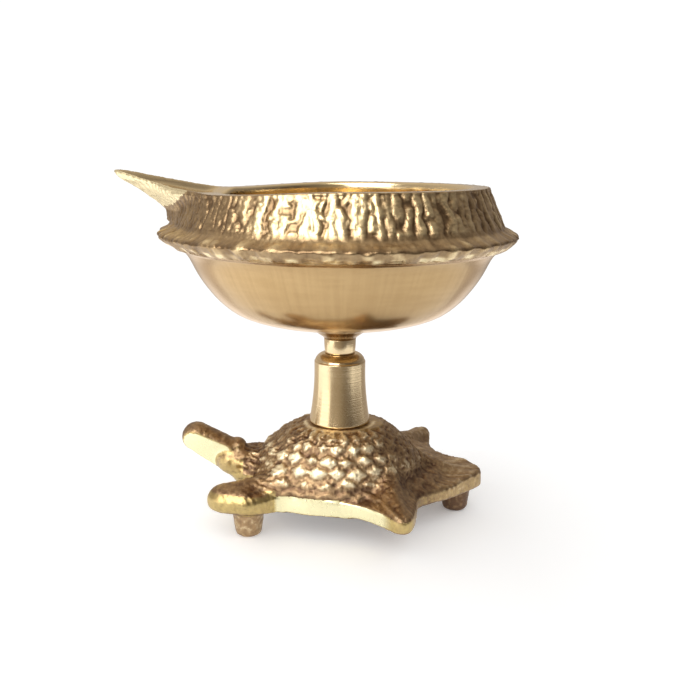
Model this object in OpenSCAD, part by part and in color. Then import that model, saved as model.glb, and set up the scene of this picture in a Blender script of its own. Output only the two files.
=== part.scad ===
// Brass tortoise diya: a spouted oil bowl on a short turned pillar, carried by a tortoise casting.
// +Z is up. The origin is on the floor, under the centre of the lamp's outer box.
// The spout and the tortoise's head point to -X. One threaded rod ties the whole lamp together.

/* [Tortoise] */
// Height of the three stub feet, from the floor to the underside of the flippers
foot_h = 6.1; // [5.6:0.1:6.6]
// Radius of a stub foot where it meets the casting
foot_r = 3.8; // [3.5:0.05:4]
// Thickness of the flippers and the tail
plate_t = 3.6; // [3.2:0.1:4]
// Height of the shell above the flippers
shell_h = 14.6; // [14:0.1:15.2]
// Thickness of the shell's wall
shell_wall = 3.4; // [3:0.1:3.8]
// Radius of the shell's crown
crown_r = 11.5; // [11:0.1:12]

/* [Pillar] */
// Height of the pillar, from the crown to the collar's seat
stem_h = 17.6; // [16.5:0.05:18.5]
// Radius of the brass bar that the pillar is turned from
stem_r = 6.35; // [6.1:0.05:6.6]
// Radius of the pillar's flared foot
stem_foot_r = 7.6; // [7.4:0.05:7.9]
// Height of the neck collar
collar_h = 3.8; // [3.4:0.05:4.2]
// Radius of the neck collar
collar_r = 3.95; // [3.8:0.05:4.1]

/* [Bowl] */
// Height of the bowl, from its boss to its rim
bowl_h = 36.7; // [36.2:0.1:37.5]
// Outer radius of the rim
rim_r = 34.8; // [34.4:0.1:35.4]
// Inner radius of the rim
well_r = 30.9; // [30.5:0.1:31.3]
// Outer radius of the flared skirt
skirt_r = 42.4; // [42:0.1:43]
// Distance from the pillar's axis to the tip of the spout
spout_reach = 54.2; // [53.5:0.1:55]
// Rise of the spout's tip above the rim
spout_rise = 3.3; // [3:0.1:3.8]

/* [Tie rod] */
// Radius of the threaded rod (M5)
rod_r = 2.5; // [2.45:0.01:2.55]
// Thread pitch of the rod (M5 coarse)
rod_pitch = 0.8; // [0.8]
// Turns of thread that hold the bowl
bowl_turns = 5; // [4:1:5]
// Width of the hexagon nut across its flats
nut_flats = 8; // [7.5:0.1:8.5]
// Height of the nut
nut_h = 4; // [3.5:0.1:4.7]

/* [Hidden] */

seat_gap = 0.05;   // play between the faces that turn on each other
turning_fit = 0.05;   // radial clearance of the bowl and the nut on the rod
slip_fit = 0.1;   // radial clearance of the collar on the rod
clearance_fit = 0.3;   // radial clearance of the rod in the pillar, crown and washer
washer_t = 1;
washer_r = 5;
rod_end = 2;   // thread that stands out below the nut
end_chamfer = 0.5;

// The pillar's axis, from the centre of the outer box: spout tip on one side, skirt on the other
lamp_x = (spout_reach - skirt_r) / 2;

// Heights above the floor
plate_z = foot_h + plate_t;
crown_z = plate_z + shell_h;
ceiling_z = crown_z - shell_wall;
stem_top = crown_z + stem_h;
collar_z = stem_top + seat_gap;
bowl_z = collar_z + collar_h + seat_gap;
rim_z = bowl_z + bowl_h;
thread_depth = bowl_turns * rod_pitch;
washer_z = ceiling_z - washer_t;
nut_z = washer_z - nut_h;
rod_z = nut_z - rod_end;
rod_top = bowl_z + thread_depth - 0.1;

// Tortoise outline, from the middle of the breast round the far side; the front half is mirrored
front_outline = [
    [-21.5, 5], [-25, 8], [-30, 10.6], [-31.7, 14], [-30, 17], [-25.8, 18.6], [-20.9, 19.2], [-15.2, 16],
    [-11.8, 15], [-6.9, 16.4]
];
rear_far_outline = [
    [0.2, 18.1], [5, 20], [10, 22.6], [15.5, 26.4], [20, 30], [23.8, 32.4], [26.2, 31], [25.8, 24.5], [27, 18.5],
    [30.2, 13.3], [34.4, 8.6]
];
tail_tip = [[36.4, 4.8], [36.8, 1.5], [35.6, -0.8]];
rear_near_outline = [
    [32, -4.2], [27.6, -8], [23.8, -10.4], [19.4, -14], [18.2, -20], [16.6, -26.8], [13.4, -28], [9.5, -23.6],
    [4.9, -19.8], [0.2, -18.1]
];
feet = [[-21.9, 14], [-21.9, -14], [30.2, 1.5]];

// Head and neck: place along x, height and radius
nose = [-36.2, 20, 3.5];
cheek = [-29.8, 16, 4.1];
nape = [-26, 15.4, 4];
throat = [-30, 15.7, 3.2];
neck = [-24.6, 13, 3.2];
breast = [-19.5, plate_z + 0.8, 4.6];

// Skirt: heights of its lower edge and its widest line above the boss, and the foot of the hammered wall
skirt_low_h = 23.6;
skirt_wide_h = 25.7;
wall_foot = [38.6, 28.2];

// Bowl profiles: radius, and height above the boss
under_profile = [
    [4.2, 0], [5, 0.7], [7.5, 2.7], [12, 3.8], [17, 4.6], [22, 5.8], [26, 7.4], [29.5, 10.3], [32, 13.3],
    [34, 16], [36, 20.2], [37.6, 22.6]
];
well_profile = [
    [0, 6], [9, 6.3], [16, 7.6], [22, 9.3], [27, 12.8], [30, 17.5], [31.3, 23], [31.2, 30], [well_r, bowl_h]
];
// Pillar profile: radius, and height above the crown
stem_profile = [[stem_foot_r, 0], [7.2, 2.7], [6.85, 5.3], [6.55, 7.9], [stem_r, 11]];

// Spout: its width, lip height and keel height by distance from the pillar's axis
spout_root = 28;
spout_start = 31.5;
keel = [
    [spout_reach, rim_z + 2.7], [52.1, rim_z + 1.1], [49.8, rim_z], [47.5, rim_z - 1.4], [45.2, rim_z - 3],
    [43, rim_z - 4.6], [41.8, rim_z - 5.8], [41.4, rim_z - 9.6]
];
spout_tip_w = 0.8;
spout_root_w = 15.2;
channel_depth = 1.3;
channel_wall = 1.4;
section_steps = 8;

// A smooth curve through b and c, with a and d as its neighbours
function spline(a, b, c, d, t) =
    0.5 * (2 * b + (c - a) * t + (2 * a - 5 * b + 4 * c - d) * t * t + (3 * b - a - 3 * c + d) * t * t * t);

// An open curve through a list of points, with n steps between neighbours
function smooth(p, n) = [
    for (i = [0:len(p) - 2], s = [0:n - 1])
        spline(p[max(i - 1, 0)], p[i], p[i + 1], p[min(i + 2, len(p) - 1)], s / n),
    p[len(p) - 1]
];

// A closed curve through a list of points
function smooth_loop(p, n) = [
    for (i = [0:len(p) - 1], s = [0:n - 1])
        spline(p[(i + len(p) - 1) % len(p)], p[i], p[(i + 1) % len(p)], p[(i + 2) % len(p)], s / n)
];

// Points that stand dz higher
function raised(p, dz) = [for (q = p) [q[0], q[1] + dz]];

function mirrored(p) = [for (i = [len(p) - 1:-1:0]) [p[i][0], -p[i][1]]];

// Share of the way from the wall to the tip
function along(d) = max(0, min(1, (d - spout_start) / (spout_reach - spout_start)));

function lip_w(d) = spout_tip_w + spout_root_w * pow(1 - along(d), 1.25);

function lip_z(d) = rim_z + spout_rise * pow(along(d), 1.8);

// Half an ellipse below the lips at distance d, w to each side and h deep, with walls up to a height of top
function trough(d, w, z, h, top = 0) = [
    if (top > 0) [-d, w, z + top],
    for (i = [0:section_steps]) [-d, w * cos(180 * i / section_steps), z - h * sin(180 * i / section_steps)],
    if (top > 0) [-d, -w, z + top]
];

// A closed skin over a row of sections
module skin(sections) {
    n = len(sections[0]);
    last = len(sections) - 1;
    polyhedron(
        points = [for (s = sections) for (p = s) p],
        faces = [
            [for (i = [n - 1:-1:0]) i],
            for (k = [0:last - 1], i = [0:n - 1])
                each [
                    [k * n + i, (k + 1) * n + (i + 1) % n, (k + 1) * n + i],
                    [k * n + i, k * n + (i + 1) % n, (k + 1) * n + (i + 1) % n]
                ],
            [for (i = [0:n - 1]) last * n + i]
        ]
    );
}

// Moves a piece from the pillar's axis to its place
module on_axis(z = 0) {
    translate([lamp_x, 0, z]) children();
}

// A thin oval, as one level of a dome
module oval(x, a, b, z) {
    translate([x, 0, z]) scale([a, b, 1]) cylinder(r = 1, h = 0.1, $fn = 48);
}

module foot() {
    rotate_extrude($fn = 48)
        polygon([[0, 0], [2.1, 0], [2.6, 0.3], [2.85, 0.9], [foot_r, foot_h], [foot_r, foot_h + 1], [0, foot_h + 1]]);
}

module flippers() {
    outline = concat(
        front_outline, rear_far_outline, tail_tip, rear_near_outline, mirrored(front_outline)
    );
    translate([0, 0, foot_h]) linear_extrude(plate_t) polygon(smooth_loop(outline, 3));
}

module shell() {
    hull() {
        oval(-0.6, 22.6, 17.8, plate_z - 0.1);
        oval(-0.6, 21.4, 17, plate_z + 2.6);
        oval(-0.3, 17.6, 14.8, plate_z + 0.55 * shell_h);
        oval(0, crown_r, crown_r, crown_z - 0.1);
    }
}

module hollow() {
    hull() {
        oval(-0.6, 18.4, 14, foot_h - 1);
        oval(-0.4, 15.6, 12.6, foot_h + 5);
        oval(0, 8.2, 8.2, ceiling_z - 0.1);
    }
}

// A ball on the tortoise's middle line: place along x, height and radius, stretched by s
module ball(b, s = [1, 1, 1]) {
    translate([b[0], 0, b[1]]) scale(s) sphere(r = b[2], $fn = 24);
}

module head() {
    hull() {
        ball(nose);
        ball(cheek, [1, 1.15, 1]);
    }
    hull() {
        ball(nape, [0.8, 1, 1]);
        ball(throat);
    }
    hull() {
        ball(neck);
        ball(breast, [1, 1.5, 1]);
    }
}

// One casting: shell, head, flippers, tail and feet, hollow under the shell
module tortoise_base() {
    color("#8f6f3a") on_axis() difference() {
        union() {
            flippers();
            shell();
            head();
            for (f = feet)
                translate([f[0], f[1], 0]) foot();
        }
        hollow();
        translate([0, 0, ceiling_z - 1]) cylinder(r = rod_r + clearance_fit, h = shell_wall + 2, $fn = 48);
    }
}

// Turned from round bar: a flared foot, a straight shank and a domed top
module stem() {
    shank_top = stem_h - 1.7;
    color("#d8b878") on_axis(crown_z) difference() {
        rotate_extrude($fn = 96) polygon(concat(
            [[0, 0]], smooth(stem_profile, 4),
            [[stem_r, shank_top - 0.25], [stem_r - 0.25, shank_top], [collar_r + 0.4, stem_h], [0, stem_h]]
        ));
        translate([0, 0, -1]) cylinder(r = rod_r + clearance_fit, h = stem_h + 2, $fn = 48);
    }
}

// Loose sleeve between the pillar and the bowl
module neck_collar() {
    color("#cfae6c") on_axis(collar_z) difference() {
        cylinder(r1 = collar_r - 0.2, r2 = collar_r, h = collar_h, $fn = 64);
        translate([0, 0, -1]) cylinder(r = rod_r + slip_fit, h = collar_h + 2, $fn = 48);
    }
}

module bowl_body() {
    rotate_extrude($fn = 96) polygon(concat(
        [[0, bowl_z]], raised(smooth(under_profile, 4), bowl_z),
        [
            [skirt_r - 1.8, bowl_z + skirt_low_h],
            [skirt_r - 0.2, bowl_z + skirt_wide_h - 0.6],
            [skirt_r, bowl_z + skirt_wide_h],
            [wall_foot[0], bowl_z + wall_foot[1]],
            [rim_r, rim_z - 0.3],
            [rim_r - 0.3, rim_z],
            [0, rim_z]
        ]
    ));
}

module spout_body() {
    stations = [spout_reach, 52.6, 50, 47.5, 45, 43.4, 42.4, 41.8, 41.4, 39, 36, spout_start, spout_root];
    skin([for (d = stations) trough(d, lip_w(d), lip_z(d), lip_z(d) - lookup(d, keel))]);
}

module spout_channel() {
    stations = [51.8, 50, 47.5, 45, 42, 39, 36, spout_start, spout_root - 3];
    skin([
        for (d = stations)
            trough(d, lip_w(d) - channel_wall, lip_z(d), channel_depth * min(1, (spout_reach - d) / 6), 6)
    ]);
}

module well() {
    rotate_extrude($fn = 96) polygon(concat(
        raised(smooth(well_profile, 4), bowl_z),
        [[well_r, rim_z + 8], [0, rim_z + 8]]
    ));
}

// One casting: the oil well, hammered wall, flared skirt and wick spout, with a blind thread in its boss
module bowl() {
    color("#c79a4b") on_axis() difference() {
        union() {
            bowl_body();
            spout_body();
        }
        well();
        spout_channel();
        translate([0, 0, bowl_z - 1]) cylinder(r = rod_r + turning_fit, h = thread_depth + 1, $fn = 48);
    }
}

// Threaded rod through the whole lamp, from the nut to the bowl's boss
module tie_rod() {
    length = rod_top - rod_z;
    color("#b9a26a") on_axis(rod_z) rotate_extrude($fn = 64) polygon([
        [0, 0], [rod_r - end_chamfer, 0], [rod_r, end_chamfer],
        [rod_r, length - end_chamfer], [rod_r - end_chamfer, length], [0, length]
    ]);
}

module washer() {
    color("#c8b070") on_axis(washer_z) difference() {
        cylinder(r = washer_r, h = washer_t, $fn = 64);
        translate([0, 0, -1]) cylinder(r = rod_r + clearance_fit, h = washer_t + 2, $fn = 48);
    }
}

// Hexagon nut with its corners turned off at both ends
module nut() {
    corner_r = nut_flats / 2 / cos(30);
    color("#c0a45f") on_axis(nut_z) difference() {
        intersection() {
            cylinder(r = corner_r, h = nut_h, $fn = 6);
            rotate_extrude($fn = 64) polygon([
                [0, 0], [nut_flats / 2 - 0.1, 0], [corner_r, 0.4],
                [corner_r, nut_h - 0.4], [nut_flats / 2 - 0.1, nut_h], [0, nut_h]
            ]);
        }
        translate([0, 0, -1]) cylinder(r = rod_r + turning_fit, h = nut_h + 2, $fn = 48);
    }
}

tortoise_base();
stem();
neck_collar();
bowl();
tie_rod();
washer();
nut();
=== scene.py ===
import math

import bpy
import numpy as np
from mathutils import Matrix, Vector


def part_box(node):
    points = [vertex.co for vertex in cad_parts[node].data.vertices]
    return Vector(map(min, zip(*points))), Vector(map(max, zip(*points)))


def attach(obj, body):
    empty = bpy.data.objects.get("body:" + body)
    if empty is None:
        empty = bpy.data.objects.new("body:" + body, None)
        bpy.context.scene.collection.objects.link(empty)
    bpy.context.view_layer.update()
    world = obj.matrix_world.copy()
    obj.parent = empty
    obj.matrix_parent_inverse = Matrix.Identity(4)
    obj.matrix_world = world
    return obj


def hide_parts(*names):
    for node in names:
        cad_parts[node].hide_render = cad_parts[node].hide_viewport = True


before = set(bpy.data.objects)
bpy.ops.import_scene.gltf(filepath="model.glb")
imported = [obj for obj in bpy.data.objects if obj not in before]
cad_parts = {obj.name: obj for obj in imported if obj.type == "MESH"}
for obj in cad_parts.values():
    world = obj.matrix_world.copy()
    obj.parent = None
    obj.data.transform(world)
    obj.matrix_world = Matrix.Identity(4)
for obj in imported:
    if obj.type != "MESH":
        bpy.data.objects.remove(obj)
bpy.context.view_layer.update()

# ---------------------------------------------------------------- places, in mm from the pillar's axis
MM = 0.001
stem_low, stem_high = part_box("stem")
collar_low, collar_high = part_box("neck_collar")
bowl_low, bowl_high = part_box("bowl")
rod_low, rod_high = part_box("tie_rod")
washer_low, washer_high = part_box("washer")
AXIS_X = (stem_low[0] + stem_high[0]) / 2
CROWN_Z = stem_low[2] / MM
COLLAR_Z, COLLAR_TOP = collar_low[2] / MM, collar_high[2] / MM
COLLAR_R = (collar_high[0] - collar_low[0]) / 2 / MM
BOWL_Z, TIP_Z = bowl_low[2] / MM, bowl_high[2] / MM
TIP_D = (AXIS_X - bowl_low[0]) / MM
RIM_H = 36.7
RIM_Z = BOWL_Z + RIM_H
WASHER_TOP = washer_high[2] / MM
PLATE_Z0, PLATE_Z1 = 6.1, 9.7
BORE_R = 2.8


def placed(points):
    """Millimetres from the pillar's axis, as metres in the row frame."""
    world = np.asarray(points, dtype=float) * MM
    world[:, 0] += AXIS_X
    return world


# ---------------------------------------------------------------- noise and curves
rng = np.random.default_rng(11)
GRADIENTS = rng.normal(size=(512, 3))
GRADIENTS /= np.linalg.norm(GRADIENTS, axis=1)[:, None]


def noise(p, seed=0):
    """Smooth noise, about -1 to 1, at points p of shape (..., 3)."""
    p = np.asarray(p, dtype=float)
    cell = np.floor(p).astype(np.int64)
    f = p - cell
    w = f * f * f * (f * (f * 6 - 15) + 10)
    total = np.zeros(p.shape[:-1])
    for corner in range(8):
        d = np.array([corner & 1, corner >> 1 & 1, corner >> 2 & 1])
        c = cell + d
        h = c[..., 0] * 73856093 ^ c[..., 1] * 19349663 ^ c[..., 2] * 83492791 ^ seed * 2654435
        h = h & 0x7FFFFFFF
        h = (h ^ h >> 13) * 1274126177 & 0x7FFFFFFF
        g = GRADIENTS[(h >> 7) % 512]
        share = np.prod(np.where(d == 1, w, 1 - w), axis=-1)
        total += share * np.sum(g * (f - d), axis=-1)
    return total * 1.7


def fractal(p, octaves, seed):
    total = 0
    for k in range(octaves):
        total = total + noise(np.asarray(p) * 2 ** k, seed + 31 * k) / 2 ** k
    return total


def noise_of_two(a, b, seed):
    return noise(np.stack([a, b, np.full_like(a, 0.37)], axis=-1), seed)


def step(a, b, x):
    """0 on a's side, 1 on b's side, smooth between."""
    t = np.clip((x - a) / (b - a), 0, 1)
    return t * t * (3 - 2 * t)


def bell(middle, width, x):
    return np.exp(-((x - middle) / width) ** 2)


def soft_max(a, b, k):
    h = np.clip(0.5 + 0.5 * (a - b) / k, 0, 1)
    return b + (a - b) * h + k * h * (1 - h)


def soft_min(a, b, k):
    return -soft_max(-a, -b, k)


def catmull_rom(p, n):
    """Points along a Catmull-Rom curve through all but the two end points of p, n to each stretch."""
    t = (np.arange(n) / n)[:, None]
    out = []
    for a, b, c, d in zip(p, p[1:], p[2:], p[3:]):
        square = (2 * a - 5 * b + 4 * c - d) * t ** 2
        cube = (3 * b - a - 3 * c + d) * t ** 3
        out.append(0.5 * (2 * b + (c - a) * t + square + cube))
    return np.concatenate(out)


def smooth_curve(points, n):
    """An open curve through points, with n steps between neighbours."""
    p = np.asarray(points, dtype=float)
    ends = np.vstack([2 * p[0] - p[1], p, 2 * p[-1] - p[-2]])
    return np.vstack([catmull_rom(ends, n), p[-1:]])


def smooth_loop(points, n):
    """A closed curve through points."""
    p = np.asarray(points, dtype=float)
    return catmull_rom(np.vstack([p[-1], p, p[0], p[1]]), n)


def along(profile):
    """Distance along a profile to each of its points."""
    return np.concatenate([[0], np.cumsum(np.linalg.norm(np.diff(profile, axis=0), axis=1))])


# ---------------------------------------------------------------- meshes
def add_mesh(name, points, faces, materials, body, replaces, kinds=None, floats=None, grain=None):
    """A smooth-shaded piece from points in millimetres and face arrays, one for each number of corners."""
    mesh = bpy.data.meshes.new(name)
    world = placed(points)
    mesh.vertices.add(len(world))
    mesh.vertices.foreach_set("co", world.astype(np.float32).ravel())
    loops = np.concatenate([f.ravel() for f in faces])
    sizes = np.concatenate([np.full(len(f), f.shape[1]) for f in faces])
    mesh.loops.add(len(loops))
    mesh.loops.foreach_set("vertex_index", loops.astype(np.int32))
    mesh.polygons.add(len(sizes))
    starts = np.concatenate([[0], np.cumsum(sizes)[:-1]])
    mesh.polygons.foreach_set("loop_start", starts.astype(np.int32))
    mesh.update(calc_edges=True)
    mesh.polygons.foreach_set("use_smooth", np.ones(len(sizes), dtype=bool))
    for m in materials:
        mesh.materials.append(m)
    if kinds is not None:
        mesh.polygons.foreach_set("material_index", kinds.astype(np.int32))
    for key, values in (floats or {}).items():
        mesh.attributes.new(key, "FLOAT", "POINT").data.foreach_set("value", values.astype(np.float32))
    if grain is not None:
        data = mesh.attributes.new("grain", "FLOAT_VECTOR", "POINT").data
        data.foreach_set("vector", grain.astype(np.float32).ravel())
    mesh.validate()
    piece = bpy.data.objects.new(name, mesh)
    bpy.context.scene.collection.objects.link(piece)
    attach(piece, body)
    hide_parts(replaces)


def around(angle, radius, height):
    """Points round the axis from angles, radii and heights that broadcast together."""
    return np.stack(np.broadcast_arrays(radius * np.cos(angle), radius * np.sin(angle), height), axis=-1)


def ring_quads(index):
    """Quads between each row of a grid of points and the next, and from its last row to its first."""
    nxt = np.roll(index, -1, axis=1)
    return np.stack([index, nxt, np.roll(nxt, -1, axis=0), np.roll(index, -1, axis=0)], axis=-1)


def lathe(profile, columns):
    """Points, faces and grain of a ring turned from a closed profile of (radius, height) rows."""
    angle = np.arange(columns) / columns * 2 * math.pi
    points = around(angle, profile[:, :1], profile[:, 1:]).reshape(-1, 3)
    faces = ring_quads(np.arange(len(points)).reshape(-1, columns)).reshape(-1, 4)
    return points, [faces], around(angle, 6, along(profile)[:, None]).reshape(-1, 3)


def rounded(corners, r):
    """A closed profile with its corners rounded; r is one radius or one for each corner."""
    corners = np.asarray(corners, dtype=float)
    radii = np.broadcast_to(r, len(corners))
    t = np.linspace(0, 1, 4)[:, None]
    out = []
    for i, c in enumerate(corners):
        if radii[i] == 0:
            out.append([c])
            continue
        a = corners[i - 1] - c
        b = corners[(i + 1) % len(corners)] - c
        ra = min(radii[i], 0.45 * np.linalg.norm(a))
        rb = min(radii[i], 0.45 * np.linalg.norm(b))
        a = c + a / np.linalg.norm(a) * ra
        b = c + b / np.linalg.norm(b) * rb
        out.append((1 - t) ** 2 * a + 2 * t * (1 - t) * c + t ** 2 * b)
    return np.concatenate(out)


# ---------------------------------------------------------------- materials
def node(tree, kind, inputs=None, **settings):
    n = tree.nodes.new(kind)
    for key, value in settings.items():
        setattr(n, key, value)
    for key, value in (inputs or {}).items():
        if isinstance(value, bpy.types.NodeSocket):
            tree.links.new(value, n.inputs[key])
        else:
            n.inputs[key].default_value = value
    return n


def ramp(tree, factor, stops):
    n = node(tree, "ShaderNodeValToRGB", {"Fac": factor})
    points = n.color_ramp.elements
    while len(points) < len(stops):
        points.new(0.5)
    for point, (place, colour) in zip(points, stops):
        point.position = place
        point.color = (*colour, 1)
    return n.outputs["Color"]


def grey(v):
    return (v, v, v)


def fade(tree, factor, start, end, low=0.0, high=1.0):
    """A grey ramp from low at start to high at end."""
    return ramp(tree, factor, [(start, grey(low)), (end, grey(high))])


def math_node(tree, operation, a, b=0.0):
    return node(tree, "ShaderNodeMath", {0: a, 1: b}, operation=operation).outputs[0]


def plus(tree, a, b):
    return math_node(tree, "ADD", a, b)


def times(tree, a, b):
    return math_node(tree, "MULTIPLY", a, b)


def centred(tree, value, middle, amount):
    """How far a value is from its middle, times an amount."""
    return times(tree, math_node(tree, "SUBTRACT", value, middle), amount)


def mix_colour(tree, factor, a, b, blend="MIX"):
    n = node(tree, "ShaderNodeMix", data_type="RGBA", blend_type=blend)
    for key, value in (("Factor", factor), ("A", a), ("B", b)):
        socket = [s for s in n.inputs if s.name == key and s.enabled][0]
        if isinstance(value, bpy.types.NodeSocket):
            tree.links.new(value, socket)
        else:
            socket.default_value = value if key == "Factor" else (*value, 1)
    return [s for s in n.outputs if s.enabled][0]


def noise_node(tree, vector, scale, detail=3.0, rough=0.55, squash=None):
    if squash:
        vector = node(tree, "ShaderNodeMapping", {"Vector": vector, "Scale": squash}).outputs[0]
    inputs = {"Vector": vector, "Scale": scale, "Detail": detail, "Roughness": rough}
    return node(tree, "ShaderNodeTexNoise", inputs).outputs[0]


def bump_node(tree, height, strength, distance, normal=None):
    inputs = {"Height": height, "Strength": strength, "Distance": distance}
    if normal is not None:
        inputs["Normal"] = normal
    return node(tree, "ShaderNodeBump", inputs).outputs[0]


def attribute(tree, name, output="Fac"):
    return node(tree, "ShaderNodeAttribute", attribute_name=name).outputs[output]


def new_material(name, metallic=1.0):
    """A material, its tree, its shader, and the object's own coordinates in metres."""
    material = bpy.data.materials.new(name)
    material.use_nodes = True
    tree = material.node_tree
    shader = tree.nodes["Principled BSDF"].inputs
    shader["Metallic"].default_value = metallic
    return material, tree, shader, node(tree, "ShaderNodeTexCoord").outputs["Object"]


def cast_brass(name, dark, mid, bright, filed, dull, rough, grain, pitted=0.25):
    """Cast brass: dark in its recesses and where shade is painted, worn bright on its peaks and where
    highlights are painted, dull or pale gold where it is filed.
    """
    material, tree, shader, place = new_material(name)
    # This attribute carries wear and painted light: dark patina in recesses, worn bright peaks, painted
    # highlights and painted shade.
    wear_and_painted_light = attribute(tree, "wear_and_painted_light")
    bare = attribute(tree, "filed")
    broad = noise_node(tree, place, 130, 4, 0.6)
    fine = noise_node(tree, place, 1100, 4, 0.65)
    level = plus(tree, plus(tree, wear_and_painted_light, centred(tree, broad, 0.5, 0.5)), centred(tree, fine, 0.5, 0.45))
    cast = ramp(tree, level, [(0.12, dark), (0.5, mid), (0.9, bright)])
    edge = fade(tree, plus(tree, bare, centred(tree, fine, 0.5, 0.3)), 0.38, 0.62)
    pale = mix_colour(tree, fade(tree, broad, 0.35, 0.7), filed, tuple(c * 0.9 for c in filed))
    tint = mix_colour(tree, fade(tree, bare, 0.62, 0.85), dull, pale)
    tree.links.new(mix_colour(tree, edge, cast, tint), shader["Base Color"])
    cast_rough = fade(tree, fine, 0.3, 0.7, *rough)
    filed_rough = fade(tree, fine, 0.3, 0.7, 0.24, 0.36)
    tree.links.new(mix_colour(tree, edge, cast_rough, filed_rough), shader["Roughness"])
    pits = times(tree, math_node(tree, "SUBTRACT", 1.0, times(tree, edge, 0.75)), fine)
    bump = bump_node(tree, pits, grain, 0.00025)
    bump = bump_node(tree, noise_node(tree, place, 2600, 2, 0.5), pitted, 0.0001, bump)
    tree.links.new(bump, shader["Normal"])
    return material


def turned_brass(name, dark, bright, rough, ring_bump, streak_bump, rings=(0.25, 0.25, 9.0),
                 streaks=(3.0, 3.0, 0.05), painted_shade_low=False):
    """Turned brass: grain is a vector that runs round the piece in x and y and along its profile in z.

    rings and streaks scale it for two noises. The last flag shifts the brass darker where its wear and
    painted light attribute is low and lighter where it is high: painted shade."""
    material, tree, shader, place = new_material(name)
    grain = attribute(tree, "grain", "Vector")
    ringed = noise_node(tree, grain, 1.0, 4, 0.6, rings)
    brushed = noise_node(tree, grain, 1.0, 3, 0.6, streaks)
    tone = plus(tree, times(tree, ringed, 0.35), times(tree, brushed, 0.35))
    tone = plus(tree, tone, times(tree, noise_node(tree, place, 60, 3, 0.5), 0.3))
    if painted_shade_low:
        tone = plus(tree, times(tree, tone, 0.45), 0.275)
        # Painted shade: the tone follows the attribute of wear and painted light.
        tone = plus(tree, tone, centred(tree, attribute(tree, "wear_and_painted_light"), 0.6, 1.0))
    tree.links.new(ramp(tree, tone, [(0.35, dark), (0.65, bright)]), shader["Base Color"])
    tree.links.new(fade(tree, tone, 0.35, 0.65, rough[1], rough[0]), shader["Roughness"])
    bump = bump_node(tree, ringed, ring_bump, 0.00008)
    tree.links.new(bump_node(tree, brushed, streak_bump, 0.0001, bump), shader["Normal"])
    return material


def plated_steel(name):
    material, tree, shader, place = new_material(name)
    cloud = noise_node(tree, place, 400, 4, 0.6)
    colour = ramp(tree, cloud, [(0.3, (0.50, 0.49, 0.46)), (0.7, (0.70, 0.69, 0.66))])
    tree.links.new(colour, shader["Base Color"])
    tree.links.new(fade(tree, cloud, 0.3, 0.7, 0.42, 0.26), shader["Roughness"])
    tree.links.new(bump_node(tree, noise_node(tree, place, 2500, 2), 0.2, 0.00005), shader["Normal"])
    return material


CAST = cast_brass("cast_brass", dark=(0.165, 0.098, 0.06), mid=(0.44, 0.30, 0.165), bright=(1.0, 0.87, 0.60),
                  filed=(1.0, 0.94, 0.60), dull=(0.61, 0.47, 0.195), rough=(0.30, 0.5), grain=0.8, pitted=0.5)
HAMMERED = cast_brass("hammered_brass", dark=(0.25, 0.165, 0.09), mid=(0.50, 0.36, 0.20),
                      bright=(0.88, 0.71, 0.42), filed=(0.98, 0.86, 0.55), dull=(0.98, 0.86, 0.55),
                      rough=(0.27, 0.42), grain=0.35)
SATIN = turned_brass("satin_brass", (0.31, 0.185, 0.065), (0.525, 0.36, 0.18), rough=(0.20, 0.28),
                     ring_bump=0.05, streak_bump=0.06, rings=(0.08, 0.08, 0.7), streaks=(1.1, 1.1, 0.04),
                     painted_shade_low=True)
POLISHED = turned_brass("polished_brass", (0.80, 0.64, 0.38), (0.93, 0.78, 0.50), rough=(0.10, 0.18),
                        ring_bump=0.15, streak_bump=0.05)
TURNED = turned_brass("turned_brass", (0.76, 0.58, 0.34), (0.86, 0.69, 0.43), rough=(0.15, 0.22),
                      ring_bump=0.22, streak_bump=0.02, rings=(0.02, 0.02, 3.2), streaks=(0.3, 0.3, 2.0))
STEEL = plated_steel("plated_steel")

# ---------------------------------------------------- bowl: angles from the spout, heights above the boss
FINE, COARSE = 840, 210
RATIO = FINE // COARSE
WALL_ROWS, CHANNEL_ROWS = 40, 18
LIP_INSET, LIP_DROP = 0.38, 0.55
LIP_EDGE = [(-0.02, 0.3), (0.12, 0.08), (LIP_INSET, 0)]
WALL_START = 28.3
WELL_RIM_R = 31.05
CHANNEL_DEPTH = 1.25
MARK_R, MARK_PITCH = 37, 1.6
GRAIN_R = 38
FILED_FROM = 33.5
WELL_FOLLOWS_RIM_FROM = 26

# Lip of the spout: distance from the axis, sideways, height above the rim; one list for each side
FAR_LIP = [(TIP_D, 0, TIP_Z - RIM_Z), (52.2, 1.1, 3.3), (50.2, 2.8, 2.8), (46.4, 6, 1.7), (39.9, 10.4, 0.4),
           (35.9, 14.8, -0.5), (31.5, 18.6, -1.1), (26.7, 22.8, -1.2), (19, 28.9, -0.9), (9, 33.6, -0.4),
           (0, 34.8, -0.1)]
NEAR_LIP = [(TIP_D, 0, TIP_Z - RIM_Z), (52, 1.1, 3.0), (49.4, 2.9, 2.2), (44.2, 6.1, 0.9), (38.5, 10.7, -0.3),
            (35.4, 14, -0.6), (31.4, 17.4, -0.9), (26.6, 22.3, -1.2), (18.5, 28.9, -0.9), (8.6, 33.5, -0.3),
            (0, 34.8, 0)]
LIPS = [smooth_curve(table, 12) for table in (NEAR_LIP, FAR_LIP)]

# By height: the distance to the spout's keel, its flanks' slope, and the wall's radius
KEEL = [(26.7, 41.7), (27.9, 41.5), (29.5, 41.6), (30.9, 41.8), (32.1, 43.0), (33.7, 45.25), (35.3, 47.5),
        (36.7, 49.8), (37.8, 52.1), (38.8, 53.3), (40.0, TIP_D)]
FLANK = [(26, 1.9), (29, 1.7), (31, 1.5), (33, 1.3), (35, 1.16), (35.8, 1.04), (36.7, 0.9), (37.9, 0.77),
         (39.1, 0.70), (40, 0.68)]
WALL = [(25.0, 42.4), (27.9, 38.9), (28.2, 38.6), (36.7, 34.75)]

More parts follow.
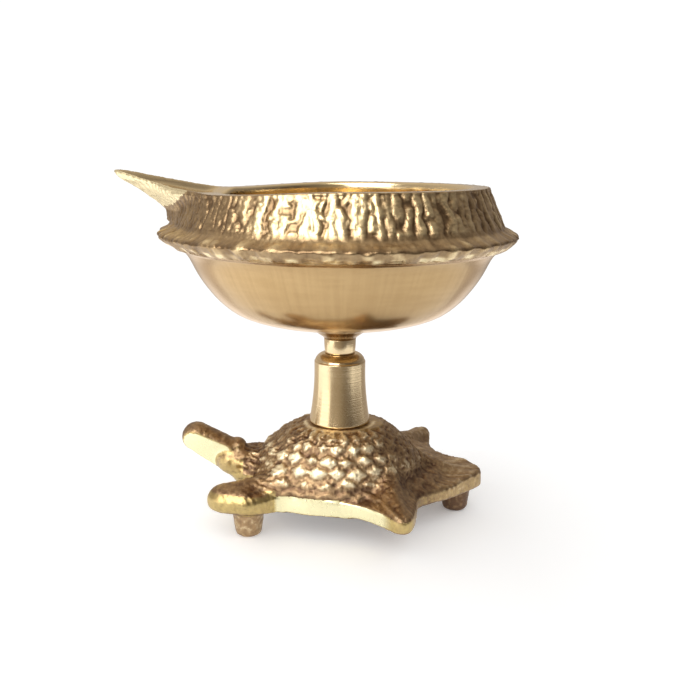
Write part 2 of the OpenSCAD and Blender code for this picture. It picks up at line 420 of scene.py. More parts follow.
# Profiles as (radius, height)
THREAD_AND_BOSS = [(0.02, 4.0), (1.2, 4.0), (2.3, 4.0), (2.56, 3.9), (2.56, 0.5), (2.9, 0.05), (3.3, 0),
                   (3.9, 0), (4.15, 0.12), (4.3, 0.4)]
UNDERSIDE = [(4.6, 0.55), (5.6, 1.25), (7.5, 2.6), (12, 3.8), (17, 4.6), (22, 5.8), (26, 7.5), (29.4, 10.3),
             (32, 13.4), (34.1, 16.6), (36, 20.4), (37.2, 22.0)]
UNDER_SKIRT = [(37.5, 22.35), (37.9, 22.5), (38.3, 22.62), (39.4, 22.95)]
SKIRT = [(39.9, 23.1), (40.6, 23.55), (41.3, 24.1), (42.05, 24.9), (42.35, 25.55), (42.0, 26.2),
         (41.0, 26.75), (39.9, 27.3), (39.0, 27.9)]
WELL = [(30.9, 35.9), (31.2, 30), (31.3, 23), (30, 17.5), (27, 12.8), (22, 9.3), (16, 7.6), (9, 6.3),
        (3, 6.02), (0.02, 6)]


def table_at(table, height):
    return np.interp(height, [row[0] for row in table], [row[1] for row in table])


def beak_radius(angle, z):
    """Outer radius of the spout at an angle and a height."""
    keel, flank = table_at(KEEL, z), table_at(FLANK, z)
    limit = np.arctan(1 / flank)
    a = np.minimum(np.sqrt(angle ** 2 + 0.006 ** 2), limit)
    return keel * flank / (np.sin(a) + flank * np.cos(a)) - 6 * np.maximum(np.abs(angle) - limit, 0)


def outer_radius(angle, z):
    return soft_max(table_at(WALL, z), beak_radius(angle, z), 1.6)


def bowl_rows(radius, height, columns):
    """Points of rows of (radius, height), each one number or one for each column."""
    return around(columns, radius, height + BOWL_Z) * [-1, 1, 1]


def ring_noise(angle, scale, seed):
    return noise(around(angle, scale, 0), seed)


def lip_height(angle):
    """Height of the lip at each angle."""
    amount = np.abs(np.degrees(angle))
    height = np.zeros(angle.shape)
    for side, lip in zip((-1, 1), LIPS):
        here = angle * side >= 0
        lip_angle = np.append(np.degrees(np.arctan2(lip[:, 1], lip[:, 0])), 180)
        height[here] = np.interp(amount[here], lip_angle, np.append(lip[:, 2], 0.15))
    return height + RIM_H


def lip_beside(radius, angle):
    """Height of the lip beside each point at that radius."""
    near, far = [np.interp(radius * np.cos(angle), lip[::-1, 0], lip[::-1, 2]) for lip in LIPS]
    share = step(-5, 5, radius * np.sin(angle))
    return near * (1 - share) + far * share + RIM_H


def skirt_rows(angle, scallop):
    """The flared skirt, scalloped along its widest edge and fuller below the spout."""
    fine_scallop = ring_noise(angle, 30, 5)
    spout_side = bell(-0.08, 0.36, angle)
    beak_foot = np.maximum(beak_radius(angle, 27.2) - 39.1, 0)
    parts = []
    for r, z in smooth_curve(SKIRT, 3):
        lift = step(23, 24, z) * (1 - step(25.6, 27.5, z))
        bulge = spout_side * step(23, 25.2, z) * (1 - step(26.4, 27.9, z))
        radius = r + 0.16 * scallop * lift - 0.1 * lift + bulge
        radius = soft_max(radius, radius + 0.9 * beak_foot * step(25.3, 27.9, z), 0.3) - 0.075
        height = z + (0.3 * scallop + 0.12 * fine_scallop + 0.1 * spout_side) * lift
        parts.append(bowl_rows(radius, height, angle))
    return parts


def wall_rows(angle, lip_z):
    """The wall, out to the spout, and the rounded edge of its lip."""
    top = lip_z - LIP_DROP
    parts = []
    for k in range(WALL_ROWS):
        z = WALL_START + (top - WALL_START) * (k + 1) / WALL_ROWS
        parts.append(bowl_rows(outer_radius(angle, z), z, angle))
    rim = outer_radius(angle, top)
    return parts + [bowl_rows(rim - inset, lip_z - drop, angle) for inset, drop in LIP_EDGE]


def channel_rows(angle, lip_z):
    """The flat rim and the spout's channel, from the lip in to the well."""
    in_channel = 1 - step(19, 32, np.abs(np.degrees(angle)))
    lip_r = outer_radius(angle, lip_z - LIP_DROP) - LIP_INSET
    parts = []
    for k in range(1, CHANNEL_ROWS + 1):
        share = (k / CHANNEL_ROWS) ** 1.25
        radius = lip_r * (1 - share) + WELL_RIM_R * share
        gap = (lip_r - radius) * np.sin(np.minimum(0.6 + np.abs(angle), math.pi / 2))
        hollowed = in_channel * step(0.0, 1.1, gap)
        height = lip_z * (1 - hollowed) + (lip_beside(radius, angle) - CHANNEL_DEPTH) * hollowed
        parts.append(bowl_rows(radius, height - 0.35 * step(0.9, 1.0, share), angle))
    return parts


def hammer_marks(turns, number, z, width, seed, keep, length):
    """Upright drop-shaped marks, number of them round the wall, broken along their height."""
    cell = np.floor(turns)
    marks = np.zeros(z.shape)
    for offset in (-1, 0, 1):
        k = (cell + offset) % number
        jitter = GRADIENTS[(k.astype(int) * 7 + seed) % 512]
        centre = cell + offset + 0.5 + 0.26 * jitter[..., 0] + 0.05 * jitter[..., 1] * (z - 32)
        centre = centre + 0.22 * noise_of_two(z / 2.4, k * 3.7 + seed, 8)
        strength = noise_of_two(z / length + 9.7 * jitter[..., 2], k * 5.3 + seed, 9)
        strength = step(-0.34, 0.2, strength + keep)
        varied = 1 + 0.3 * noise_of_two(z / 1.7, k * 2.9 + seed, 12) + 0.12 * jitter[..., 2]
        x = np.abs(turns - centre) / (width * (0.5 + 0.5 * strength) * varied)
        mark = strength * np.clip(1 - x ** 2.4, 0, 1) ** 0.65
        marks = np.maximum(marks, mark * (0.88 + 0.25 * jitter[..., 1]))
    return marks


def wall_marks(grid, z, angle):
    """Flutes on the wall and fewer strokes on the skirt, both 0 to about 1."""
    pitch = MARK_PITCH + 0.75 * step(48, 64, np.abs(np.degrees(angle)))
    turns = np.cumsum(MARK_R * np.gradient(angle) / pitch)
    number = round(turns[-1])
    turns = np.broadcast_to((turns - turns[0]) * number / (turns[-1] - turns[0]), z.shape)
    wavy = (turns + 0.32 * noise(grid / 4.5, 51)) % number
    flutes = hammer_marks(wavy, number, z, 0.48, 0, keep=0.46, length=2.9)
    short = hammer_marks((wavy + 0.5) % number, number, z, 0.30, 90, keep=-0.05, length=1.9)
    few = number // 3
    strokes = hammer_marks(turns * few / number, few, z, 0.17, 300, keep=-0.05, length=2.6)
    return np.maximum(flutes, 0.85 * short), strokes * (1 - step(26.6, 27.6, z)) * step(23.2, 23.8, z)


def outward_normals(grid, angle):
    """Normals of the bowl's outer grid, pointing away from its axis on the skirt."""
    normal = np.cross(np.roll(grid, -1, 1) - np.roll(grid, 1, 1), np.gradient(grid, axis=0))
    normal /= np.linalg.norm(normal, axis=-1)[..., None] + 1e-12
    away = bowl_rows(1, -BOWL_Z, angle)
    return normal if np.sum(normal[10] * away) > 0 else -normal


def hammered_skin(grid, angle, lip_z, scallop, outside):
    """The grid with its hammer marks, how bright each point's colour is, from wear, painted highlights and
    painted shade, and how far it is filed bare.
    """
    amount = np.abs(np.degrees(angle))
    z = grid[..., 2] - BOWL_Z
    above = z - lip_z[None, :]
    flutes, strokes = wall_marks(grid, z, angle)
    grit = fractal(grid / 0.9, 3, 21)
    dents = around(angle, 14, z / 9)
    broad = noise(dents, 41)
    rough = fractal(dents * [3.2, 3.2, 4.5], 2, 43)
    shallow = 1 - 0.45 * step(66, 50, amount)

    # Where each surface is
    beyond_wall = np.hypot(grid[..., 0], grid[..., 1]) - table_at(WALL, z)
    beak = step(0.6, 3.0, beyond_wall) * (z > 28)
    wall = step(28.0, 28.7, z) * (1 - 0.75 * step(-0.35, 0.0, above)) * (1 - beak)
    skirt = (1 - step(27.6, 28.4, z)) * outside
    skirt_edge = skirt * (1 - step(23.8, 24.3, z)) * step(-0.4, 0.3, scallop)[None, :]

    height = wall * outside * (0.60 * shallow * flutes - 0.42 * shallow + 0.11 * grit)
    height += skirt * (0.30 * broad + 0.12 * rough + 0.22 * strokes + 0.04 * grit - 0.3)
    height += beak * outside * 0.10 * grit
    moved = grid + outward_normals(grid, angle) * height[..., None]

    filed_edge = FILED_FROM - 1.1 * above + 0.9 * noise(moved / 0.8, 25)
    facet = beak * step(-0.3, 0.3, -moved[..., 0] - filed_edge)
    # Painted light round the wall: brighter about 84 degrees from the spout, darker from 98 degrees on,
    # towards the side away from the key light.
    painted_light_round = bell(84, 18, amount) - 0.4 * step(98, 112, amount) - 0.3 * step(118, 136, amount)
    shine = wall * (0.07 + 0.2 * painted_light_round + flutes * (1.1 * shallow - 0.27) + 0.1 * grit)
    shine += skirt * (0.47 + 0.12 * broad + 0.10 * rough + 0.4 * strokes)
    # The skirt's lower edge is partly filed bare and partly a painted highlight, in patches along its
    # scallops.
    shine += beak * (0.24 + 0.22 * grit) + 0.35 * facet + 0.35 * skirt_edge
    # Painted shade: the skirt is darker below its crest, where it faces down, and in broken patches along the
    # crest, where the key light's highlight falls.
    shine -= 0.2 * skirt * (1 - step(25.7, 26.5, z)) * (1 - skirt_edge)
    shine -= 0.28 * skirt * bell(26.1, 0.5, z) * step(0.35, -0.2, broad)
    shine = np.where(outside, shine + 0.25 * step(-0.2, 0.0, above), 0.75)
    return moved, shine, np.maximum(np.where(outside, facet, 0.8), 0.55 * skirt_edge)


def strip(index):
    """Quads between neighbouring rows, facing out."""
    return ring_quads(index)[:-1, :, [0, 3, 2, 1]].reshape(-1, 4)


def join(coarse, fine):
    """Faces from one coarse row to one fine row: RATIO fine edges for each coarse one."""
    columns = [np.roll(coarse, -1), coarse] + [np.roll(fine, -k)[::RATIO] for k in range(RATIO + 1)]
    return np.stack(columns, axis=-1)


def make_bowl():
    # Columns crowd together round the spout
    t = (np.arange(FINE) + 0.5) / FINE - 0.5
    angle = 2 * math.pi * t - 0.5 * np.sin(2 * math.pi * t)
    coarse_angle = angle[::RATIO]
    lip_z = lip_height(angle)
    scallop = ring_noise(angle, 13, 3)

    under = np.vstack([THREAD_AND_BOSS, smooth_curve(UNDERSIDE, 3), UNDER_SKIRT])
    low = bowl_rows(under[:, :1], under[:, 1:], coarse_angle)
    outer = skirt_rows(angle, scallop) + wall_rows(angle, lip_z)
    grid = np.array(outer + channel_rows(angle, lip_z))
    well = smooth_curve(WELL, 4)
    well_top = WELL[0][1]
    share = np.clip((well[:, 1:] - WELL_FOLLOWS_RIM_FROM) / (well_top - WELL_FOLLOWS_RIM_FROM), 0, 1) ** 3
    well_rim = grid[-1, ::RATIO, 2] - BOWL_Z - 0.5
    high = bowl_rows(well[:, :1], well[:, 1:] + share * (well_rim - well_top), coarse_angle)
    row_number = np.arange(len(grid))[:, None]
    grid, shine, bare = hammered_skin(grid, angle, lip_z, scallop, row_number < len(outer))

    points = np.concatenate([part.reshape(-1, 3) for part in (low, grid, high)])
    index = np.arange(len(points))
    low_size, high_size = low.size // 3, high.size // 3
    low_index = index[:low_size].reshape(-1, COARSE)
    fine_index = index[low_size:-high_size].reshape(-1, FINE)
    high_index = index[-high_size:].reshape(-1, COARSE)
    quads = [strip(low_index), strip(fine_index), strip(high_index)]
    joins = [join(low_index[-1], fine_index[0]), join(high_index[0], fine_index[-1])[:, ::-1]]

    satin, hammered, polished = range(3)
    fine_kind = np.repeat(np.where(row_number[:-1] < len(outer) - 1, hammered, polished), FINE)
    kinds = [np.full(len(quads[0]), satin), fine_kind, np.full(len(quads[2]), polished),
             np.full(COARSE, satin), np.full(COARSE, polished)]
    grain = [around(coarse_angle, GRAIN_R, along(under)[:, None]),
             around(angle, GRAIN_R, 60 + 0.3 * row_number),
             around(coarse_angle, GRAIN_R, 90 + along(well)[:, None])]
    # Painted shade: the underside is darker low down, round the boss where it meets the neck.
    painted_shade_low = np.repeat(0.45 + 0.28 * step(2.5, 7.5, under[:, 1]), COARSE)
    wear_and_painted_light = np.concatenate([painted_shade_low, shine.ravel(), np.full(high_size, 0.8)])
    filed = np.concatenate([np.ones(low_size), bare.ravel(), np.ones(high_size)])
    add_mesh("spouted_bowl", points, [np.concatenate(quads), np.concatenate(joins)],
             [SATIN, HAMMERED, POLISHED], "bowl", "bowl", np.concatenate(kinds),
             {"wear_and_painted_light": wear_and_painted_light, "filed": filed}, np.concatenate([g.reshape(-1, 3) for g in grain]))


# ---------------------------------------------------------------- tortoise: its head points to -x
FRONT = [(-21.5, 5), (-25, 8), (-30, 10.6), (-31.7, 14), (-30, 17), (-25.8, 18.6), (-20.9, 19.2), (-15.2, 16),
         (-11.8, 15), (-6.9, 16.4)]
REAR_FAR = [(0.2, 18.1), (5, 20), (10, 22.6), (15.5, 26.4), (20, 30), (23.8, 32.4), (26.2, 31), (25.8, 24.5),
            (27, 18.5), (30.2, 13.3), (34.4, 8.6)]
TAIL = [(36.4, 4.8), (36.8, 1.5), (35.6, -0.8)]
REAR_NEAR = [(32, -4.2), (27.6, -8), (23.8, -10.4), (19.4, -14), (18.2, -20), (16.6, -26.8), (13.4, -28),
             (9.5, -23.6), (4.9, -19.8), (0.2, -18.1)]
OUTLINE = smooth_loop(FRONT + REAR_FAR + TAIL + REAR_NEAR + [(x, -y) for x, y in reversed(FRONT)], 5)
FEET = [(-21.9, 14), (-21.9, -14), (30.2, 1.5)]

# Ridges out to the flippers and along the tail: start, end, and the radius at each
RIDGES = [((12, -13, 11.5), (14.2, -25.5, 8.3), 3.6, 1.3), ((12, 14, 12), (23.4, 29.4, 10.2), 4.0, 1.6),
          ((17, 2, 11.5), (32, 2, 8.4), 5.0, 1.6), ((-14, -11, 11.5), (-27, -14.2, 8.6), 4.2, 1.9),
          ((-14, 11, 11.5), (-27, 14.2, 8.6), 4.2, 1.9)]

# The flat filed on the near side of the head: a point on it, and the direction into the head
FACET_AT = np.array([-34.0, -2.3, 18.0])
FACET = np.array([0.15, 0.92, 0.36])

# The mesh grid's cell and its two far corners, and the scutes' rows
CELL = 0.34
GRID_LOW, GRID_HIGH = np.array([-41.0, -30.0, -0.9]), np.array([38.4, 34.4, 25.4])
SCUTE_ROW_Z = [27.0, 25.2, 23.4, 21.4, 18.75, 15.8, 13.1, 10.3]
SCUTES_ROUND = 26
MARGIN_SCALLOPS = 16


def outline_distance(x, y):
    """Signed distance to the outline, negative inside."""
    best = np.full(x.shape, 1e9)
    inside = np.zeros(x.shape, dtype=bool)
    for (x0, y0), (x1, y1) in zip(OUTLINE, np.roll(OUTLINE, -1, axis=0)):
        dx, dy = x1 - x0, y1 - y0
        t = np.clip(((x - x0) * dx + (y - y0) * dy) / (dx * dx + dy * dy + 1e-12), 0, 1)
        best = np.minimum(best, (x - x0 - t * dx) ** 2 + (y - y0 - t * dy) ** 2)
        if abs(dy) > 1e-12:
            inside ^= ((y0 > y) != (y1 > y)) & (x < x0 + (y - y0) / dy * dx)
    return np.where(inside, -1, 1) * np.sqrt(best)


def capsule(x, y, z, start, end, start_r, end_r, squash=1.0):
    """Distance to a tapered rod; squash stretches it sideways."""
    way = np.array(end, dtype=float) - start
    x, y, z = x - start[0], y - start[1], z - start[2]
    t = np.clip((x * way[0] + y * way[1] + z * way[2]) / (way @ way), 0, 1)
    away = np.sqrt((x - t * way[0]) ** 2 + ((y - t * way[1]) / squash) ** 2 + (z - t * way[2]) ** 2)
    return away - (start_r + (end_r - start_r) * t)


def shell_axes(z):
    """Half length and half width of the shell at a height above the floor."""
    return (np.interp(z, [8, 9.7, 13.5, 18.3, 24.3], [23, 22.8, 21.6, 18.7, 11.6]),
            np.interp(z, [8, 9.7, 13.8, 18.3, 21, 24.3], [18.2, 18, 17, 15.2, 13.6, 11.6]))


def shell_ring(x, y, z):
    """1 on the shell's surface, less inside, more outside."""
    half_x, half_y = shell_axes(z)
    return np.sqrt(((x + 0.6 * step(24, 10, z)) / half_x) ** 2 + (y / half_y) ** 2)


def plate_field(x, y, z):
    """Flippers, tail and flange: a plate that thickens towards the shell, with rounded edges."""
    flat = outline_distance(*np.broadcast_arrays(x[:, :, 0], y[:, :, 0]))[:, :, None]
    rise = 0.34 * np.clip(-flat, 0, 6) * (1 - step(20, 34, x))
    far_tip = 2.0 * step(24, 32, y) * step(14, 20, x)
    top = PLATE_Z1 + rise + far_tip + 1.6 * step(-13, -24, x) + 1.0 * step(26, 34, x)
    middle, half = (top + PLATE_Z0) / 2, (top - PLATE_Z0) / 2
    corner = 0.45 + 1.9 * step(-15, -22, x) + 0.6 * step(9, 15, x)
    a, b = flat + corner, np.abs(z - middle) - half + corner
    return np.sqrt(np.maximum(a, 0) ** 2 + np.maximum(b, 0) ** 2) + np.minimum(np.maximum(a, b), 0) - corner


def shell_field(x, y, z):
    """The domed shell, sloping away from the pillar at its crown."""
    half_x, half_y = shell_axes(z)
    dome = (shell_ring(x, y, z) - 1) * np.minimum(half_x, half_y) * 0.72
    from_stem = np.hypot(x, y) - 8.5 - 2.6 * bell(-0.25, 0.55, np.arctan2(y, x))
    dome = soft_max(dome, z - CROWN_Z + 0.1 + 0.32 * np.maximum(from_stem, 0), 0.9)
    return np.maximum(dome, np.maximum(z - CROWN_Z + 0.02, PLATE_Z0 - z))


def head_field(x, y, z):
    """Head with its filed flat, neck, and the folds of skin behind the head and under the neck."""
    into = (x - FACET_AT[0]) * FACET[0] + (y - FACET_AT[1]) * FACET[1] + (z - FACET_AT[2]) * FACET[2]
    head = soft_max(capsule(x, y, z, (-36.1, 0, 19.8), (-29.6, 0, 15.8), 3.75, 4.35), -into, 0.45)
    neck = capsule(x, y, z, (-27.4, 0, 13.9), (-19, 0, 10.9), 3.9, 5.4, 1.1)
    neck = soft_min(neck, capsule(x, y, z, (-24.2, 0, 9.5), (-20, 0, 9.5), 2.4, 3.5, 1.4), 1.6)
    fold = capsule(x, y, z, (-25.9, 0, 17.2), (-25.3, 0, 15.0), 2.3, 3.6, 1.15)
    return soft_min(soft_min(head, neck, 1.1), fold, 0.7)


def foot_field(x, y, z):
    """A stub foot on the z axis, flat on the floor."""
    peg = soft_max(np.hypot(x, y) - np.interp(z, [0, 6], [3.1, 3.85]), -z, 1.3)
    return np.maximum(peg, z - 8)


def hollow_field(x, y, z):
    """The hollow under the shell, up to the top of the washer."""
    half_x = np.interp(z, [5, 11, 20.9], [18.4, 15.6, 8.2])
    half_y = np.interp(z, [5, 11, 20.9], [14.0, 12.6, 8.2])
    hollow = (np.sqrt(((x + 0.5) / half_x) ** 2 + (y / half_y) ** 2) - 1) * half_y * 0.85
    return soft_max(hollow, z - WASHER_TOP, 0.8)


def casting_field(x, y, z):
    """About the distance to the whole casting, negative inside."""
    field = soft_min(plate_field(x, y, z), shell_field(x, y, z), 1.2)
    for ridge in RIDGES:
        field = soft_min(field, np.maximum(capsule(x, y, z, *ridge), PLATE_Z0 + 0.3 - z), 2.0)
    field = soft_min(field, head_field(x, y, z), 0.9)
    for foot_x, foot_y in FEET:
        field = soft_min(field, foot_field(x - foot_x, y - foot_y, z), 0.8)
    field = soft_max(field, -hollow_field(x, y, z), 0.4)
    return np.maximum(field, np.maximum(BORE_R - np.hypot(x, y), -z))


def surface(field, origin, cell):
    """Points and quads on the zero level of a field that is negative inside."""
    inside = field < 0
    shape = tuple(n - 1 for n in field.shape)
    total = np.zeros(shape + (3,), dtype=np.float32)
    count = np.zeros(shape, dtype=np.float32)
    edges = []
    for axis in range(3):
        a = [slice(None)] * 3
        b = [slice(None)] * 3
        a[axis], b[axis] = slice(0, -1), slice(1, None)
        a, b = tuple(a), tuple(b)
        i = np.argwhere(inside[a] != inside[b])
        v0, v1 = field[a][tuple(i.T)], field[b][tuple(i.T)]
        place = i.astype(np.float32)
        place[:, axis] += v0 / (v0 - v1)
        u, v = [k for k in range(3) if k != axis]
        for du, dv in ((0, 0), (0, 1), (1, 0), (1, 1)):
            c = i.copy()
            c[:, u] -= du
            c[:, v] -= dv
            ok = np.all((c >= 0) & (c < shape), axis=1)
            np.add.at(total, tuple(c[ok].T), place[ok])
            np.add.at(count, tuple(c[ok].T), 1)
        edges.append((axis, i, v0 < 0))
    used = count > 0
    index = np.full(shape, -1)
    index[used] = np.arange(used.sum())
    points = total[used] / count[used][:, None] * cell + origin
    quads = []
    for axis, i, from_inside in edges:
        u, v = (axis + 1) % 3, (axis + 2) % 3
        keep = (i[:, u] > 0) & (i[:, v] > 0) & (i[:, u] < shape[u]) & (i[:, v] < shape[v])
        corners = []
        for du, dv in ((1, 1), (0, 1), (0, 0), (1, 0)):
            c = i[keep]
            c[:, u] -= du
            c[:, v] -= dv
            corners.append(index[tuple(c.T)])
        q = np.stack(corners, axis=-1)
        quads.append(np.where(from_inside[keep][:, None], q, q[:, ::-1]))
    return points, np.concatenate(quads)


def vertex_normals(points, quads):
    corners = points[quads]
    face_normal = np.cross(corners[:, 2] - corners[:, 0], corners[:, 3] - corners[:, 1])
    normal = np.zeros_like(points)
    for k in range(4):
        np.add.at(normal, quads[:, k], face_normal)
    return normal / (np.linalg.norm(normal, axis=1)[:, None] + 1e-12)


def scute_pattern(points, turn):
    """Diamond scutes in staggered rows round the shell: 0 between them, about 1 on top."""
    rows = np.arange(len(SCUTE_ROW_Z))
    row = np.interp(points[:, 2], SCUTE_ROW_Z[::-1], rows[::-1]) + noise(points / 3.0, 61) * 0.11
    column = turn / (2 * math.pi) * SCUTES_ROUND + noise(points / 3.0, 62) * 0.11
    scute = np.zeros(len(points))
    for neighbour in (0, 1):
        centre_row = np.floor(row) + neighbour
        stagger = 0.5 * (centre_row % 2)
        centre_column = np.round(column - stagger) + stagger
        pick = centre_row * 37 + (centre_column * 2) % (2 * SCUTES_ROUND) * 11
        kind = GRADIENTS[pick.astype(int) % 512]
        u = np.abs(column - centre_column - 0.12 * kind[:, 1])
        v = np.abs(row - centre_row - 0.12 * kind[:, 2])
        size = 0.86 + 0.16 * kind[:, 0]
        slope = (size - 1.15 * (u + v) - 0.2 * np.hypot(u, v)) * 2.0
        scute = np.maximum(scute, np.clip(slope, 0, 1.05 + 0.2 * kind[:, 1]))
    return scute


def cast_skin(points, normal):
    """The points with the casting's skin, how bright each one's colour is, from wear, patina, painted
    highlights and painted shade, and how far it is filed bare.
    """
    x, y, z = points.T
    up = normal[:, 2]
    half_x, half_y = shell_axes(z)
    ring = shell_ring(x, y, z)
    turn = np.arctan2(y / half_y, (x + 0.5) / half_x)
    from_axis = np.hypot(x, y)
    grit = fractal(points / 1.1, 3, 71)

    # Scutes and creases on the dome: the scutes are weaker near the crown, at both ends and low down
    dome = (1 - step(1.05, 1.35, ring)) * step(0.70, 0.8, ring) * step(12.0, 12.8, z) * (z < CROWN_Z - 0.25)
    below_crown = step(CROWN_Z - 1.5, CROWN_Z - 5.5, z)
    flank = step(0.25, 0.8, np.abs(y) / (from_axis + 1e-9))
    scute = scute_pattern(points, turn) * (0.6 + 0.4 * below_crown) * (0.55 + 0.45 * flank)
    scute = scute * (1 - 0.45 * step(3, 13, x)) * (0.55 + 0.45 * step(12.5, 15.5, z))
    crease = 1 - 2.2 * np.abs(noise(points / 1.25, 75)) - 1.2 * np.abs(noise(points / 0.62, 76))

    # Scalloped margin of the shell, lines on the flippers and tail, and combed ridges near the neck
    ledge = z + 0.8 * (1 - np.abs(np.sin(turn * MARGIN_SCALLOPS)))
    margin = step(10.6, 10.9, ledge) * (1 - step(11.6, 12.2, ledge))
    margin = margin * step(0.93, 0.98, ring) * (1 - step(1.12, 1.22, ring))
    lines = noise(np.stack([np.arctan2(y, x) * 30, from_axis * 0.1, z * 0.1], axis=-1), 81)
    lines = lines * step(1.08, 1.25, ring) * np.clip(up, 0, 1) * (x > -22)
    across = (0.55 * x - 0.85 * np.abs(y) + 0.9 * z) / 1.7 + 0.5 * noise(points / 5.0, 83)
    combed = np.sin(2 * math.pi * across) * (0.6 + 0.6 * noise(points / 3.0, 84))
    combed = combed * step(-12, -16, x) * (1 - step(-24, -27, x)) * step(10.8, 11.8, z) * (z < 19)
    combed = combed * (1 - step(1.12, 1.3, ring))

    # Filed metal: the plate's edge, barest amidships, part of the crown, and the side of the head
    front = x < -15
    edge = (1 - step(0.3 + 0.3 * front, 0.8 + 0.15 * front, np.abs(up))) * (outline_distance(x, y) > -2.6)
    edge = edge * (z > PLATE_Z0 - 0.2) * (z < PLATE_Z1 + 1.9) * (x > -33)
    amidships = step(-16, -14, x) * (1 - step(8, 13, x))
    edge = edge * np.where(z < PLATE_Z1 + 0.5, 1, 1 - amidships)
    crown = (z > CROWN_Z - 0.35) * step(0.7, 0.95, up) * (x > 5)
    toward = -(normal @ FACET) / np.linalg.norm(FACET)
    on_facet = (x < -24) * step(0.88, 0.97, toward) * (np.abs((points - FACET_AT) @ FACET) < 0.5)
    cheek = (x < -24) * (z > 10.5) * step(0.35, 0.75, toward) * 0.52
    worn = amidships + (1 - amidships) * np.where(x > 17, 0.43, 0.56)
    filed = np.clip(np.maximum(edge * worn, cheek) + 0.45 * crown + on_facet, 0, 1)
    brushed = noise(np.stack([(x + y) * 1.6, z * 0.5, y * 0.3], axis=-1), 85) * (1 - amidships) * edge

    height = dome * (0.68 * scute - 0.27 + 0.12 * grit + 0.2 * crease * (1 - 0.7 * below_crown * flank))
    height += 0.4 * margin + 0.26 * lines + 0.17 * combed + 0.12 * brushed
    height += (1 - np.clip(edge + on_facet, 0, 1)) * (1 - dome) * 0.07 * grit
    moved = points + normal * height[:, None]
    moved[:, 2] = np.where(z < 0.5, np.maximum(moved[:, 2], 0), moved[:, 2])

    wear_and_painted_light = dome * (0.32 + 0.36 * scute + 0.26 * step(0.25, 0.75, scute) + 0.14 * grit + 0.22 * crease)
    wear_and_painted_light += (1 - dome) * (0.42 + 0.15 * grit + 0.24 * lines + 0.15 * margin) + 0.22 * combed
    # Painted shade: the dome's lowest band, below about z 12.5 to 14.5, is darker, except towards the head
    # and out on the flippers.
    wear_and_painted_light -= 0.22 * (1 - step(12.5, 14.5, z)) * step(-20, -16, x) * (1 - step(1.1, 1.25, ring))
    wear_and_painted_light += 0.05 * step(22, 27, x) - 0.16 * step(-17, -21, x)
    # Painted highlight: a bright thin ring round the crown flat, 8.7 mm from the axis, on its near half.
    wear_and_painted_light += 0.5 * bell(8.7, 0.5, from_axis) * (z > CROWN_Z - 1.0) * (y < 0)
    inner_side = (np.sqrt((x / 18.2) ** 2 + (y / 13.8) ** 2) < 1.02) & (up < 0.2)
    wear_and_painted_light = np.where(inner_side, 0.25, wear_and_painted_light)
    wear_and_painted_light = np.where(z < PLATE_Z0 - 0.3, 0.50 + 0.2 * grit - 0.36 * (x > 0), wear_and_painted_light)
    wear_and_painted_light = np.where((x < -24) & (z > 12), 0.40 + 0.2 * grit, wear_and_painted_light)
    return moved, wear_and_painted_light, filed


def make_tortoise():
    steps = [np.arange(a, b, CELL) for a, b in zip(GRID_LOW, GRID_HIGH)]
    field = casting_field(*np.meshgrid(*steps, indexing="ij", sparse=True))
    points, quads = surface(field.astype(np.float32), GRID_LOW, CELL)
    moved, wear_and_painted_light, filed = cast_skin(points, vertex_normals(points, quads))
    add_mesh("tortoise_casting", moved, [quads], [CAST], "root", "tortoise_base",
             floats={"wear_and_painted_light": wear_and_painted_light, "filed": filed})


# ---------------------------------------------------------------- pillar, neck and fastenings
PILLAR = [(7.6, 0.35), (7.2, 2.7), (6.85, 5.3), (6.58, 7.9), (6.42, 10.4), (6.355, 12.8), (6.35, 15.4)]
SHOULDER = [(6.35, 15.4), (6.35, 15.6), (6.12, 15.85), (6.02, 16.3), (5.35, 17.15), (4.35, 17.6)]
NECK_BORE_R = 2.6
THREAD_PITCH, THREAD_DEPTH = 0.8, 0.46


def make_stem():
    shoulder = rounded(SHOULDER, [0, 0.12, 0.1, 0.4, 0.6, 0])[1:]
    side = np.vstack([(7.45, 0.02), smooth_curve(PILLAR, 8), shoulder, (3.2, 17.6)])
    profile = np.vstack([(BORE_R, 0.02), side, (BORE_R, 17.4)]) + [0, CROWN_Z]
    points, faces, grain = lathe(profile, 160)
    add_mesh("turned_pillar", points, faces, [TURNED], "root", "stem", grain=grain)


def make_collar():
    h = COLLAR_TOP - COLLAR_Z
    side = [(COLLAR_R - 0.2, 0), (COLLAR_R - 0.05, h * 0.5), (COLLAR_R, h)]
    profile = rounded([(NECK_BORE_R, 0), *side, (NECK_BORE_R, h)], [0.1, 0.2, 0, 0.2, 0.1])
    points, faces, grain = lathe(profile + [0, COLLAR_Z], 96)
    add_mesh("neck_sleeve", points, faces, [TURNED], "collar", "neck_collar", grain=grain)


def make_rod():
    """The M5 rod, with a real helical thread."""
    low, high = rod_low[2] / MM, rod_high[2] / MM
    r = (rod_high[0] - rod_low[0]) / 2 / MM
    columns = 40
    heights = np.arange(low, high + 0.01, 0.1)[:, None]
    angle = np.arange(columns) / columns * 2 * math.pi
    phase = (heights / THREAD_PITCH - angle / (2 * math.pi)) % 1
    radius = r - THREAD_DEPTH * np.clip(1.25 - 2.6 * np.abs(phase - 0.5), 0, 1)
    radius = np.minimum(radius, r - 0.55 + np.minimum(heights - low, high - heights))
    points = around(angle, radius, heights).reshape(-1, 3)
    index = np.arange(len(points)).reshape(-1, columns)
    quads = ring_quads(index)[:-1].reshape(-1, 4)
    first, last = index[0], index[-1]
    bottom = np.stack([np.roll(first, -1), first, np.full(columns, len(points))], axis=-1)
    top = np.stack([last, np.roll(last, -1), np.full(columns, len(points) + 1)], axis=-1)
    points = np.vstack([points, (0, 0, low), (0, 0, high)])
    add_mesh("threaded_rod", points, [quads, bottom, top], [STEEL], "root", "tie_rod")


